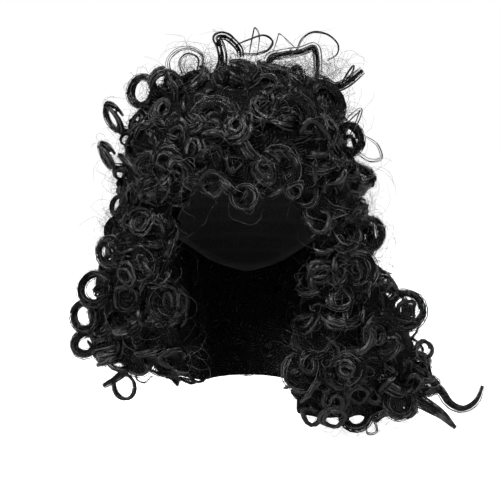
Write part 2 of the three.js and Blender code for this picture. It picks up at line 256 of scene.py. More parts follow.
# the threads and wefts are the net's own pattern; both tones are darkened as painted shade for the inside
# of the cap
netLook = {
    "mesh": 420,
    "thread": 0.12,
    "weft": 62,  # rows to a metre, sewn on the net
    "weftFrom": 0.36,
    "dark": (0.003, 0.003, 0.003, 1),
    "pale": (0.016, 0.0155, 0.015, 1),
    "relief": {"Strength": 0.5, "Distance": 1.0 * mm},
    "rough": 0.85,
    "specular": 0.5,
}


def netMaterial():
    material, board = newMaterial("black elastic net")
    place = board.make("ShaderNodeTexCoord", None, None, out="Object")
    edges = {"feature": "DISTANCE_TO_EDGE"}
    cells = board.make("ShaderNodeTexVoronoi", edges, {"Vector": place, "Scale": netLook["mesh"]})
    rows = board.make("ShaderNodeSeparateXYZ", None, {0: place}, out="Z") * netLook["weft"]
    weft = board.maths("GREATER_THAN", board.maths("PINGPONG", rows, 0.5), netLook["weftFrom"])
    thread = board.maths("LESS_THAN", cells, netLook["thread"])
    cover = board.maths("MAXIMUM", weft, thread)
    tones = {"Factor": cover, "A": netLook["dark"], "B": netLook["pale"]}
    colour = board.make("ShaderNodeMix", {"data_type": "RGBA"}, tones)
    relief = board.make("ShaderNodeBump", None, {**netLook["relief"], "Height": cover})
    board.surface(colour, netLook["rough"], netLook["specular"], relief)
    return material


strandFinish = strandMaterial()
massFinish = massMaterial()
lockFinish = lockMaterial()
capFinish = netMaterial()
print("finishes ready")


def asTable(columns, *rows):
    return [dict(zip(columns, row)) for row in rows]


def inSection(section, things):
    return [thing for thing in things if thing["section"] == section]


# outer form of the hair in mm: reach from the middle axis at each level
formColumns = ("level", "left", "right", "front", "back")
formRows = (
    (47, 18, 30, 24, 28),
    (40, 48, 56, 52, 62),
    (22, 86, 78, 80, 98),
    (-6, 112, 92, 99, 122),
    (-45, 119, 103, 107, 138),
    (-92, 123, 114, 100, 146),
    (-140, 132, 116, 88, 147),
    (-190, 150, 152, 82, 144),
    (-225, 148, 169, 79, 140),
    (-262, 122, 175, 75, 134),
    (-286, 90, 162, 66, 120),
)
form = dict(zip(formColumns, np.array(formRows, float).T))
formStep = {"turn": 0.02, "level": 4}  # for its slope
upward = np.array((0.0, 0.0, 1.0))


def formReach(level, name):
    return np.interp(-level, -form["level"], form[name])


def formPoint(azimuth, level):
    side = formReach(level, "left" if math.sin(azimuth) < 0 else "right")
    depth = formReach(level, "front" if math.cos(azimuth) > 0 else "back")
    return np.array((side * math.sin(azimuth), -depth * math.cos(azimuth), level))


def formNormal(azimuth, level):
    turn, climb = formStep["turn"], formStep["level"]
    around = formPoint(azimuth + turn, level) - formPoint(azimuth - turn, level)
    up = formPoint(azimuth, level + climb) - formPoint(azimuth, level - climb)
    normal = np.cross(around, up)
    return normal / np.linalg.norm(normal)


def turnAbout(vector, axis, angle):
    return (
        vector * math.cos(angle)
        + np.cross(axis, vector) * math.sin(angle)
        + axis * np.dot(axis, vector) * (1 - math.cos(angle))
    )


# curls that show one by one, in mm and degrees
namedCurls = asTable(
    ("section", "kind", "x", "y", "z", "radius", "turns", "yaw", "tilt", "start", "half"),
    ("crown", "ring", -101, -18, 27, 14, 1.7, -28, 6, 120, 4),
    ("crown", "ring", -130, -14, 2, 14, 1.25, -55, -28, 0, 4),
    ("crown", "ring", -137, -12, -35, 12, 1.25, -62, -28, 0, 4.5),
    ("crown", "ring", -124, -18, -84, 10, 1.25, -24, 8, 40, 3),
    ("crown", "roll", -78, -32, 34, 13, 1.4, 10, -30, 90, 5),
    ("crown", "roll", 47, -16, 38, 12, 1.6, 80, 12, 90, 6),
    ("crown", "ring", 74, -44, 15, 16, 1.25, 35, 25, 60, 7),
    ("crown", "ring", 98, -22, -18, 14, 1.25, 30, 10, 0, 5),
    ("crown", "roll", 106, -20, -56, 17, 1.5, 30, 70, 0, 6),
    ("crown", "ring", -8, -58, 39, 16, 1.25, 0, 52, 30, 7),
    ("crown", "ring", -52, -42, 36, 15, 1.2, -40, 48, 0, 6),
    ("fringe", "ring", -40, -101, -42, 16, 1.25, -22, 5, 200, 6),
    ("fringe", "ring", -70, -76, -20, 17, 1.2, -38, 12, 20, 7),
    ("fringe", "ring", -30, -92, -2, 17, 1.25, -14, 22, 270, 7),
    ("fringe", "ring", 40, -86, 0, 18, 1.25, 18, 20, 90, 7),
    ("fringe", "roll", 4, -97, -22, 17, 1.2, 62, 20, 0, 7),
    ("fringe", "roll", 64, -80, -40, 14, 1.8, 20, 75, 0, 6),
    ("fringe", "ring", 30, -102, -44, 14, 1.2, 14, -6, 0, 6),
    ("fringe", "ring", -2, -108, -70, 10, 1.2, 15, 5, 90, 3),
    ("fringe", "roll", -12, -102, -54, 13, 1.2, 70, 30, 90, 6),
    ("fringe", "roll", -76, -74, -62, 16, 1.4, -60, 60, 0, 7),
    ("fringe", "ring", 78, -72, -70, 14, 1.2, 38, 5, 100, 6),
    ("right", "ring", 90, -62, -108, 15, 1.25, 28, 8, 0, 6),
    ("right", "ring", 117, -26, -110, 15, 1.25, 18, 12, 60, 5),
    ("right", "ring", 104, -48, -144, 17, 1.25, 22, 6, 30, 6),
    ("right", "ring", 157, -20, -186, 17, 1.25, 12, 14, 0, 5),
    ("right", "ring", 176, -14, -228, 9, 1.2, 28, 0, 0, 3),
    ("right", "roll", 178, -18, -262, 12, 1.8, 20, 78, 0, 5),
    ("right", "ring", 106, -44, -285, 13, 1.25, 8, 28, 90, 4.5),
    ("right", "ring", 52, -68, -238, 14, 1.25, 12, 2, 0, 6),
    ("right", "roll", 88, -60, -182, 18, 1.4, 40, 60, 0, 7),
    ("right", "ring", 124, -56, -206, 18, 1.25, 28, 6, 120, 7),
    ("right", "roll", 144, -38, -248, 19, 1.5, 60, 48, 0, 7),
    ("right", "ring", 92, -70, -234, 17, 1.25, 16, 0, 40, 7),
    ("left", "ring", -127, -24, -107, 11, 1.25, -24, 10, 0, 5),
    ("left", "ring", -134, -28, -128, 12, 1.25, -20, 10, 100, 4),
    ("left", "ring", -148, -30, -164, 15, 1.25, -14, 14, 0, 5),
    ("left", "ring", -160, -24, -192, 13, 1.25, -18, 10, 80, 4.5),
    ("left", "ring", -158, -28, -218, 12, 1.25, -8, 30, 0, 5),
    ("left", "roll", -136, -30, -226, 12, 2.2, 200, 78, 0, 5),
    ("left", "ring", -104, -44, -230, 13, 1.25, -14, 12, 0, 5),
    ("left", "ring", -120, -34, -260, 12.5, 1.9, -25, 0, 60, 1.8),
    ("left", "ring", -98, -62, -134, 16, 1.25, -22, 4, 30, 7),
    ("left", "roll", -112, -52, -192, 18, 1.4, -40, 60, 0, 7),
    ("left", "ring", -88, -68, -206, 15, 1.25, -16, 0, 200, 7),
    ("left", "ring", -80, -66, -104, 14, 1.2, -10, 4, 60, 6),
    ("left", "ring", -74, -68, -172, 14, 1.2, 4, 0, 250, 6),
    ("left", "ring", -72, -62, -228, 13, 1.2, 6, 6, 120, 5),
    ("right", "ring", 74, -68, -150, 14, 1.2, 4, 0, 150, 6),
    ("right", "ring", 64, -70, -206, 14, 1.2, -4, 0, 300, 6),
    ("right", "ring", 148, -40, -274, 14, 1.2, 24, 8, 20, 5),
)

# rows of curls over the rest
curlRows = asTable(
    ("section", "level", "start", "end", "count", "radius"),
    ("crown", 46, 60, 300, 2, 16),
    ("crown", 20, 78, 282, 5, 17),
    ("crown", -20, 92, 268, 5, 17),
    ("crown", -62, 92, 268, 5, 17),
    ("right", -118, 84, 128, 2, 17),
    ("right", -160, 80, 128, 3, 17),
    ("right", -202, 84, 128, 2, 17),
    ("right", -244, 76, 128, 2, 17),
    ("left", -118, 232, 276, 2, 17),
    ("left", -160, 232, 280, 2, 17),
    ("left", -194, 232, 276, 2, 17),
    ("left", -226, 232, 284, 2, 14),
    ("back", -118, 130, 230, 4, 17),
    ("back", -160, 132, 228, 4, 17),
    ("back", -202, 130, 230, 4, 17),
    ("back", -238, 132, 228, 3, 17),
    ("right", -280, 84, 128, 2, 14),
    ("back", -266, 132, 228, 3, 14),
)
rowCurl = {
    "lies": (("ring", 20, 74), ("roll", 20, 10), ("ring", 140, 68), ("ring", -100, 78), ("roll", -50, 12)),
    "turns": 1.2,
    "startStep": 80,
    "half": 6.5,
    "rollSink": 0.4,
    "ringStand": 3.5,
}

# loose locks that leave the outline, with their half width at the root and the tip
looseLocks = asTable(
    ("section", "half", "tip", "route"),
    ("crown", 4.5, 3, ((-34, -14, 34), (-24, -19, 54), (-25, -24, 68), (-29, -22, 78),
                       (-20, -13, 80), (-8, -6, 70), (-6, -2, 61))),
    ("crown", 4.5, 4, ((21, -22, 34), (21, -26, 57), (33, -26, 62), (51, -20, 65),
                       (65, -11, 70), (69, -7, 58), (68, -8, 34))),
    ("crown", 5, 4, ((-52, -14, 12), (-72, -16, 20), (-86, -18, 32))),
    ("crown", 5, 4, ((-84, -12, -8), (-102, -12, -11), (-125, -11, -10))),
    ("crown", 5, 4, ((-94, -10, -44), (-112, -10, -47), (-132, -10, -46))),
    ("crown", 5, 3.5, ((54, -18, 26), (70, -18, 37), (84, -22, 31), (96, -27, 35), (111, -24, 47))),
    ("left", 5, 2, ((-110, -34, -222), (-122, -34, -247), (-141, -34, -260))),
    ("right", 5, 2, ((150, -20, -236), (188, -20, -263), (201, -24, -280),
                     (214, -29, -284), (227, -28, -276), (234, -23, -262))),
    ("right", 9, 1.5, ((140, -26, -262), (186, -26, -286), (207, -26, -304))),
)

# strands that leave the outline a few at a time
flyaways = asTable(
    ("section", "strands", "half", "route"),
    ("crown", 7, 1.0, ((-8, -14, 64), (8, -14, 63), (20, -14, 67), (25, -14, 75),
                       (16, -14, 81), (2, -14, 77), (-10, -14, 72))),
    ("crown", 5, 2.5, ((-72, -20, 38), (-76, -20, 54), (-68, -20, 65),
                       (-54, -20, 68), (-42, -20, 60), (-44, -20, 42))),
    ("crown", 4, 1.5, ((-60, -16, 40), (-65, -16, 55), (-57, -16, 63), (-47, -16, 58), (-50, -16, 40))),
    ("crown", 6, 1.0, ((48, -12, 64), (53, -12, 77), (64, -12, 84), (78, -12, 82),
                       (88, -12, 73), (87, -12, 63), (78, -12, 57))),
    ("crown", 2, 0.6, ((2, -14, 62), (6, -14, 82), (8, -14, 88), (12, -14, 80), (10, -14, 62))),
    ("crown", 2, 0.6, ((24, -14, 62), (29, -14, 78), (31, -14, 83), (40, -14, 76), (50, -14, 66))),
    ("crown", 4, 0.8, ((90, -18, 32), (98, -18, 46), (103, -18, 52), (102, -18, 46), (94, -18, 36))),
    ("crown", 5, 2.0, ((92, -24, -6), (104, -24, 6), (110, -24, 9), (104, -24, -8), (98, -24, -20))),
    ("crown", 4, 1.5, ((104, -22, -30), (119, -22, -39), (130, -22, -37),
                       (126, -22, -24), (114, -22, -16))),
    ("left", 5, 1.2, ((-92, -40, -228), (-104, -40, -240), (-108, -40, -250),
                      (-100, -40, -255), (-92, -40, -248))),
    ("left", 3, 0.7, ((-121, -36, -248), (-130, -36, -255), (-128, -36, -268), (-119, -36, -272),
                      (-112, -36, -264), (-113, -36, -252), (-122, -36, -246))),
    ("right", 6, 1.5, ((118, -46, -280), (124, -46, -292), (126, -46, -302),
                       (118, -46, -304), (116, -46, -296))),
)

# main curls and loose locks
lock = {
    "strandSteps": 16,  # to a turn
    "bodySteps": 18,
    "fewestSteps": 8,
    "bodySides": 7,
    "core": 0.78,  # solid middle of a lock, as a share of its strands' spread
    "looseCore": 0.32,
    "tailCore": 0.66,
    "depthPerHalf": 0.65,
    "pitchPerSize": 2.3,
    "woundPitch": 0.4,  # of the pitch, for a curl that is wound in
    "tipTaper": 0.35,
    "taperLength": 0.25,
    "uvLength": 40,  # of a lock, to one unit of its UV map
    "strandsPerHalf": 1.5,
    "namedExtra": 4,
    "coarse": 1.0,
    "looseCoarse": 1.2,
    "looseStrandsPerHalf": 5.0,
    "looseSteps": 6,  # between two points of a route
    "thickAt": (0, 0.15, 0.8, 1),
    "thick": (0.6, 1, 1, 0.35),
    "inputs": {"Strand Radius": 0.3 * mm, "Stray": 3.0 * mm, "Stray Scale": 70.0},
    "seed": 20,
}

# small curls between the others: a nest is wound in to its middle
fill = {
    "seed": 5,
    "spacing": 17.5,
    "strandSteps": 12,
    "bodySteps": 14,
    "bodySides": 5,
    "carrier": 22,  # least thickness of the hair that carries them
    "rayFrom": 0.5,  # under its surface, to measure it
    "nestShare": {"fringe": 0.42, "crown": 0.42, "left": 0.22, "right": 0.22, "back": 0.32},
    "nest": {
        "raised": (62, 90),
        "radius": (13, 19),
        "turns": (2.0, 2.8),
        "half": (2.6, 4.2),
        "curlIn": (0.55, 0.85),
        "strands": 2,
    },
    "loop": {
        "raised": (25, 80),
        "radius": (8, 14),
        "turns": (1.0, 1.6),
        "half": (2.6, 4.6),
        "curlIn": (0.0, 0.3),
        "strands": 3,
    },
    "inner": {"turns": 2.4, "half": 3.0, "curlIn": 0.8, "strands": 2},  # nests in the large rings
    "innerFrom": 16,
    "innerShare": 0.8,
    "innerTurn": 150,
    "coarse": 0.85,  # a strand's thickness, where the main curls have 1
    "mostHalf": 0.45,  # of the radius
    "rollShare": 0.35,
    "rollRaised": (-15, 25),
    "rollSink": 0.5,
    "ringStand": (0, 3),
    "sway": 6.5,
    "swayScale": 0.055,
    "swaySeed": 7,
    "room": 4,  # past the solids' box
    "openFrom": -50,  # named rings behind this y show the background through them
    "openEdge": 5,
}
noise.seed_set(fill["swaySeed"])


def placedCurl(**values):
    return {"curlIn": 0.0, "small": False, **values}


def listNamedCurls():
    out = []
    for c in namedCurls:
        across = turnAbout(np.array((1.0, 0.0, 0.0)), upward, math.radians(c["yaw"]))
        axis = turnAbout(np.array((0.0, -1.0, 0.0)), upward, math.radians(c["yaw"]))
        out.append(
            placedCurl(
                middle=np.array((c["x"], c["y"], c["z"]), float),
                axis=turnAbout(axis, across, math.radians(-c["tilt"])),
                across=across,
                strands=round(lock["strandsPerHalf"] * c["half"]) + lock["namedExtra"],
                **{key: c[key] for key in ("section", "kind", "radius", "turns", "start", "half")},
            )
        )
    return out


# a curl whose rod stands on a surface, turned round its normal and raised out of it
def curlOn(point, normal, turn, raised, stand, **rest):
    side = np.cross(upward, normal) + (1e-6, 0, 0)  # the small push settles a level surface
    side /= np.linalg.norm(side)
    upright = turnAbout(np.cross(normal, side), normal, math.radians(turn))
    across = np.cross(upright, normal)
    axis = turnAbout(upright, across, math.radians(raised))
    return placedCurl(middle=point + normal * stand, axis=axis, across=across, **rest)


def listRowCurls():
    out = []
    lies = rowCurl["lies"]
    for number, r in enumerate(curlRows):
        for i in range(r["count"]):
            azimuth = math.radians(r["start"] + (r["end"] - r["start"]) * (i + 0.5) / r["count"])
            kind, turn, raised = lies[(2 * number + i) % len(lies)]
            point, normal = formPoint(azimuth, r["level"]), formNormal(azimuth, r["level"])
            stand = rowCurl["ringStand"] if kind == "ring" else -rowCurl["rollSink"] * r["radius"]
            rest = {
                "section": r["section"],
                "kind": kind,
                "radius": r["radius"],
                "turns": rowCurl["turns"],
                "start": rowCurl["startStep"] * i,
                "half": rowCurl["half"],
                "strands": round(lock["strandsPerHalf"] * rowCurl["half"]),
            }
            out.append(curlOn(point, normal, turn, raised, stand, **rest))
    return out


# where the hair has an outside, in mm
hollow = {
    "level": (-320, -230, -165, -125, -95),
    "half": (56, 60, 70, 75.5, 75),
    "depth": (66, 71, 82, 94, 95),
    "dome": 104,
    "margin": 9,
}
frontEdge = {
    "level": (-320, -262, -225, -170, -96, -74, -60),
    "left": (56, 58, 60, 70, 72, 69, 58),
    "right": (28, 34, 50, 66, 65, 52, 36),
    "before": -30,
    "band": 8,
}
hems = {
    "inner": -248,  # right of the front opening
    "left": -234,
    "right": -286,
    "back": -272,
    "innerTan": 1.28,  # slopes in plan where one hem meets the next
    "sideTan": 1.19,
    "band": 7,
}
# inside and outside are squared shares of the reach
outerForm = {"inside": 0.86, "outside": 1.22, "top": 38, "highest": 52}


# true where the hair shows from outside: not in the hollow nor between two sections
def showsOutside(places):
    x, y, z = places.T
    half = np.interp(z, hollow["level"], hollow["half"]) + hollow["margin"]
    depth = np.interp(z, hollow["level"], hollow["depth"]) + hollow["margin"]
    rise = np.clip((z - hollow["level"][-1]) / hollow["dome"], 0, None)
    outsideHollow = (x / half) ** 2 + (y / depth) ** 2 + rise**2 > 1
    reachX = np.where(x < 0, formReach(z, "left"), formReach(z, "right"))
    reachY = np.where(y < 0, formReach(z, "front"), formReach(z, "back"))
    spread = (x / reachX) ** 2 + (y / reachY) ** 2
    onForm = (spread > outerForm["inside"]) & (spread < outerForm["outside"])
    left = np.interp(z, frontEdge["level"], frontEdge["left"])
    right = np.interp(z, frontEdge["level"], frontEdge["right"])
    onFront = (y < frontEdge["before"]) & (z < frontEdge["level"][-1])
    onFront &= np.minimum(abs(x + left), abs(x - right)) < frontEdge["band"]
    hem = np.where(x / hems["sideTan"] > y, hems["right"], hems["back"])
    hem = np.where(x / -hems["sideTan"] > y, hems["left"], hem)
    hem = np.where((x > 0) & (y < 0) & (x < -hems["innerTan"] * y), hems["inner"], hem)
    onEnds = ((z > outerForm["top"]) | (z < hem + hems["band"])) & (spread < outerForm["outside"])
    return outsideHollow & (z < outerForm["highest"]) & (onForm | onFront | onEnds)


def vertexArrays(mesh):
    places = np.empty(len(mesh.vertices) * 3)
    normals = np.empty_like(places)
    mesh.vertices.foreach_get("co", places)
    mesh.vertex_normals.foreach_get("vector", normals)
    return places.reshape(-1, 3), normals.reshape(-1, 3)


# points on the outside of thick hair, no two nearer than the spacing
def spreadOver(mesh, spacing, rng):
    places, normals = vertexArrays(mesh)
    places = places / mm
    shown = showsOutside(places) & (np.sum(normals**2, axis=1) > 0.5)  # a few have no normal
    walls = BVHTree.FromPolygons(places.tolist(), [list(p.vertices) for p in mesh.polygons])
    taken = {}
    chosen = []
    for i in rng.permutation(len(places)):
        if not shown[i]:
            continue
        cell = (places[i] // spacing).astype(int)
        near = [j for step in product((-1, 0, 1), repeat=3) for j in taken.get(tuple(cell + step), ())]
        if any(np.sum((places[j] - places[i]) ** 2) < spacing**2 for j in near):
            continue
        through = walls.ray_cast(places[i] - fill["rayFrom"] * normals[i], -normals[i])[3]
        if through is None or through > fill["carrier"]:
            taken.setdefault(tuple(cell), []).append(i)
            chosen.append(i)
    return places[chosen], normals[chosen]


# small curls and single hairs are pulled out of round, each in its own way
def swayed(points, amount, scale):
    return points + amount * np.array([noise.noise_vector(Vector(p) * scale) for p in points])


def inRoom(points, room):
    return np.all(points > np.array(cadLow) / mm - room) and np.all(points < np.array(cadHigh) / mm + room)


# single long hairs that stand off the curls
frizz = {
    "seed": 40,
    "spacing": 3.2,
    "count": {"fringe": 260, "crown": 870, "left": 900, "right": 1050, "back": 450},
    "length": (18, 66),
    "bend": (7, 25),
    "lean": 0.5,
    "coil": (-0.3, 0.3),
    "steps": 9,
    "coarse": 0.36,
    "sway": 4.5,
    "swayScale": 0.06,
    "edge": 0.45,  # hair turned this far from the front has them
    "elsewhere": 0.3,  # share that has them on the rest
    "room": 13,  # past the solids' box
    "top": {"count": 430, "low": (-70, -45, 36), "high": (88, 5, 44), "longer": 1.15},
}


def frizzGuides(section, mesh):
    rng = np.random.default_rng(frizz["seed"] + len(section))
    places, normals = spreadOver(mesh, frizz["spacing"], rng)
    shows = (abs(normals[:, 1]) < frizz["edge"]) | (rng.uniform(size=len(places)) < frizz["elsewhere"])
    roots = [(p, n, 1.0) for p, n in zip(places[shows], normals[shows])][: frizz["count"][section]]
    if section == "crown":
        top = frizz["top"]
        feet = rng.uniform(top["low"], top["high"], (top["count"], 3))
        roots += [(p, upward, top["longer"]) for p in feet]
    share = np.linspace(0, 1, frizz["steps"] + 1)[:, None]
    out = []
    for point, normal, longer in roots:
        bend = longer * rng.uniform(*frizz["bend"])
        angle = longer * rng.uniform(*frizz["length"]) / bend * share
        leave = normal + rng.normal(0, frizz["lean"], 3)
        leave /= np.linalg.norm(leave)
        axis = np.cross(leave, rng.normal(size=3))
        axis /= np.linalg.norm(axis)
        turned = np.sin(angle) * leave + (1 - np.cos(angle)) * np.cross(axis, leave)
        points = point + bend * (turned + rng.uniform(*frizz["coil"]) * angle * axis)
        points = swayed(points, frizz["sway"], frizz["swayScale"])
        if inRoom(points, frizz["room"]):
            none = np.zeros_like(points)
            single = {"wide": none, "thin": none, "strands": 1, "coarse": frizz["coarse"]}
            out.append({"points": points, **single})
    return out


def listFillCurls(section, mesh):
    rng = np.random.default_rng(fill["seed"] + len(section))
    out = []
    for point, normal in zip(*spreadOver(mesh, fill["spacing"], rng)):
        look = fill["nest"] if rng.uniform() < fill["nestShare"][section] else fill["loop"]
        kind = "roll" if look is fill["loop"] and rng.uniform() < fill["rollShare"] else "ring"
        radius = rng.uniform(*look["radius"])
        half = min(rng.uniform(*look["half"]), fill["mostHalf"] * radius)
        turn = rng.uniform(-180, 180)
        raised = rng.uniform(*(look["raised"] if kind == "ring" else fill["rollRaised"]))
        stand = rng.uniform(*fill["ringStand"]) if kind == "ring" else -fill["rollSink"] * radius
        rest = {
            "section": section,
            "kind": kind,
            "radius": radius,
            "turns": rng.uniform(*look["turns"]),
            "start": rng.uniform(0, 360),
            "half": half,
            "strands": look["strands"],
            "curlIn": rng.uniform(*look["curlIn"]),
            "small": True,
        }
        out.append(curlOn(point, normal, turn, raised, stand, **rest))
    return out


# nests that close the large rings
def listInnerNests(curls):
    return [
        {
            **c,
            **fill["inner"],
            "radius": fill["innerShare"] * c["radius"],
            "start": c["start"] + fill["innerTurn"],
            "small": True,
        }
        for c in curls
        if c["kind"] == "ring" and c["radius"] >= fill["innerFrom"]
    ]


def closesRing(c, rings):
    return any(np.linalg.norm(c["middle"] - r["middle"]) - r["radius"] < fill["openEdge"] for r in rings)


def listSmallCurls(section, mesh, named, main):
    rings = [c for c in named if c["kind"] == "ring" and c["middle"][1] > fill["openFrom"]]
    small = [c for c in listFillCurls(section, mesh) if not closesRing(c, rings)] + listInnerNests(main)
    return [c for c in small if inRoom(curlGuide(c, "bodySteps")["points"], fill["room"])]


def taperAt(share):
    nearest = np.minimum(share, 1 - share) / lock["taperLength"]
    return lock["tipTaper"] + (1 - lock["tipTaper"]) * np.minimum(1, nearest)


# a curl's guide line, with how far the strands spread the wide way and the thin way
def curlGuide(c, steps):
    rule = fill if c["small"] else lock
    count = max(lock["fewestSteps"], round(rule[steps] * c["turns"]))
    share = np.linspace(0, 1, count + 1)[:, None]
    depth = lock["depthPerHalf"] * c["half"]
    pitch = lock["pitchPerSize"] * (depth if c["kind"] == "ring" else c["half"])
    angle = math.radians(c["start"]) + 2 * math.pi * c["turns"] * share
    outward = np.cos(angle) * c["across"] + np.sin(angle) * np.cross(c["axis"], c["across"])
    along = np.cross(c["axis"], outward) * 2 * math.pi * c["radius"] + c["axis"] * pitch
    along /= np.linalg.norm(along, axis=1)[:, None]
    thin = np.cross(outward, along) if c["kind"] == "ring" else outward
    wide = np.cross(along, thin)
    reach = c["radius"] * (1 - c["curlIn"] * share)
    rise = pitch * c["turns"] * (lock["woundPitch"] if c["curlIn"] else 1)
    points = c["middle"] + c["axis"] * (share - 0.5) * rise + outward * reach
    if c["small"]:
        points = swayed(points, fill["sway"], fill["swayScale"])
    narrow = taperAt(share)
    return {
        "points": points,
        "wide": wide * c["half"] * narrow,
        "thin": thin * depth * narrow,
        "strands": c["strands"],
        "coarse": rule["coarse"],
        "core": lock["core"],
        "sides": rule["bodySides"],
    }


# a smooth line through a route's points, as wide as stated at its two ends
def lockGuide(half, tip, route, core=0.0, strands=0):
    knots = np.array(route, float)
    knots = np.vstack((2 * knots[0] - knots[1], knots, 2 * knots[-1] - knots[-2]))
    points = []
    for a, b, c, d in zip(knots, knots[1:], knots[2:], knots[3:]):
        for t in np.linspace(0, 1, lock["looseSteps"], endpoint=False):
            square = 2 * b + (c - a) * t + (2 * a - 5 * b + 4 * c - d) * t * t
            points.append(0.5 * (square + (3 * b - a - 3 * c + d) * t**3))
    points = np.array(points + [knots[-2]])
    along = np.gradient(points, axis=0)
    along /= np.linalg.norm(along, axis=1)[:, None]
    thin = np.tile((0.0, -1.0, 0.0), (len(points), 1))
    wide = np.cross(along, thin)
    wide /= np.linalg.norm(wide, axis=1)[:, None]
    width = np.linspace(half, tip, len(points))[:, None]
    return {
        "points": points,
        "wide": wide * width,
        "thin": thin * width / 2,
        "strands": strands or round(lock["looseStrandsPerHalf"] * half),
        "coarse": lock["looseCoarse"],
        "core": core,
        "sides": lock["bodySides"],
    }


# the locks' bodies: an oval swept along each guide, all in one mesh
def lockBodies(name, guides):
    places, faces, spread = [], [], []
    first = 0
    for g in guides:
        points = g["points"]
        sides = g["sides"]
        around = np.linspace(0, 2 * math.pi, sides, endpoint=False)[None, :, None]
        section = np.cos(around) * g["wide"][:, None] + np.sin(around) * g["thin"][:, None]
        rings = points[:, None] + g["core"] * section
        places.append(rings.reshape(-1, 3) * mm)
        lengths = np.linalg.norm(np.diff(points, axis=0), axis=1)
        run = np.concatenate(((0,), np.cumsum(lengths))) / lock["uvLength"]
        for i in range(len(points) - 1):
            for j in range(sides):
                k = (j + 1) % sides
                low, high = first + i * sides, first + (i + 1) * sides
                faces.append((low + j, high + j, high + k, low + k))
                a, b = j / sides, (j + 1) / sides
                spread += [(run[i], a), (run[i + 1], a), (run[i + 1], b), (run[i], b)]
        last = first + (len(points) - 1) * sides
        faces.append([first + j for j in range(sides)])
        faces.append([last + j for j in reversed(range(sides))])
        spread += [(run[0], j / sides) for j in range(sides)]
        spread += [(run[-1], j / sides) for j in reversed(range(sides))]
        first += len(points) * sides
    mesh = bpy.data.meshes.new(name)
    mesh.from_pydata(np.vstack(places).tolist(), [], faces)
    mesh.uv_layers.new(name="alongLock").data.foreach_set("uv", np.array(spread, np.float32).ravel())
    mesh.shade_smooth()
    mesh.materials.append(lockFinish)
    return mesh


# the guide lines as bare edges, with what the strands need to know at each point
def guideMesh(name, guides):
    points, wide, thin = (np.vstack([g[key] for g in guides]) * mm for key in ("points", "wide", "thin"))
    lengths = [len(g["points"]) for g in guides]
    counts = np.repeat([g["strands"] for g in guides], lengths)
    profiles = [np.interp(np.linspace(0, 1, n), lock["thickAt"], lock["thick"]) for n in lengths]
    thick = np.concatenate([g["coarse"] * profile for g, profile in zip(guides, profiles)])
    edges = []
    first = 0
    for n in lengths:
        edges += [(first + i, first + i + 1) for i in range(n - 1)]
        first += n
    mesh = bpy.data.meshes.new(name)
    mesh.from_pydata(points.tolist(), edges, [])
    mesh.attributes.new("wideReach", "FLOAT_VECTOR", "POINT").data.foreach_set("vector", wide.ravel())
    mesh.attributes.new("thinReach", "FLOAT_VECTOR", "POINT").data.foreach_set("vector", thin.ravel())
    mesh.attributes.new("strands", "INT", "POINT").data.foreach_set("value", counts.astype(np.int32))
    mesh.attributes.new("thick", "FLOAT", "POINT").data.foreach_set("value", thick)
    return mesh


# an empty tree with the named inputs, a seed and a finish
def newTree(name, inputs):
    tree = bpy.data.node_groups.new(name, "GeometryNodeTree")
    tree.is_modifier = True
    tree.interface.new_socket("Geometry", in_out="OUTPUT", socket_type="NodeSocketGeometry")
    tree.interface.new_socket("Geometry", in_out="INPUT", socket_type="NodeSocketGeometry")
    for label, kind in {**dict.fromkeys(inputs, "Float"), "Seed": "Int", "Finish": "Material"}.items():
        tree.interface.new_socket(label, in_out="INPUT", socket_type="NodeSocket" + kind)
    board = Board(tree)
    entry = board.make("NodeGroupInput").socket.node
    return tree, board, {s.name: Wire(board, s) for s in entry.outputs if s.name}


# every strand draws a lot: two throws from -1 to 1 and a shade from 0 to the palest
def drawLots(board, curves, seed, palest):
    index = board.make("GeometryNodeInputIndex")
    limits = {"Min": (-1, -1, 0), "Max": (1, 1, palest), "ID": index, "Seed": seed}
    draw = board.make("FunctionNodeRandomValue", {"data_type": "FLOAT_VECTOR"}, limits)
    return board.make(
        "GeometryNodeStoreNamedAttribute",
        {"data_type": "FLOAT_VECTOR", "domain": "CURVE"},
        {"Geometry": curves, "Name": "lot", "Value": draw},
    )


def strayBy(board, wave, amount):
    return board.vector("SCALE", board.vector("SUBTRACT", wave, (0.5, 0.5, 0.5)), amount)


# sweeps three-sided strands along curves and ends the tree
def sweepStrands(board, curves, radius, finish):
    profile = board.make("GeometryNodeCurvePrimitiveCircle", None, {"Resolution": 3, "Radius": 1.0})
    swept = board.make(
        "GeometryNodeCurveToMesh",
        None,
        {"Curve": curves, "Profile Curve": profile, "Scale": radius, "Fill Caps": True},
    )
    smooth = board.make("GeometryNodeSetShadeSmooth", None, {"Geometry": swept})
    real = board.make("GeometryNodeRealizeInstances", None, {"Geometry": smooth})
    painted = board.make("GeometryNodeSetMaterial", None, {"Geometry": real, "Material": finish})
    board.make("NodeGroupOutput", None, {0: painted})


# base and span of what a strand's lot decides
wind = {"rim": (0.8, 0.4), "loose": (0.35, 1.9), "thick": (1.25, 0.5), "waves": 40}


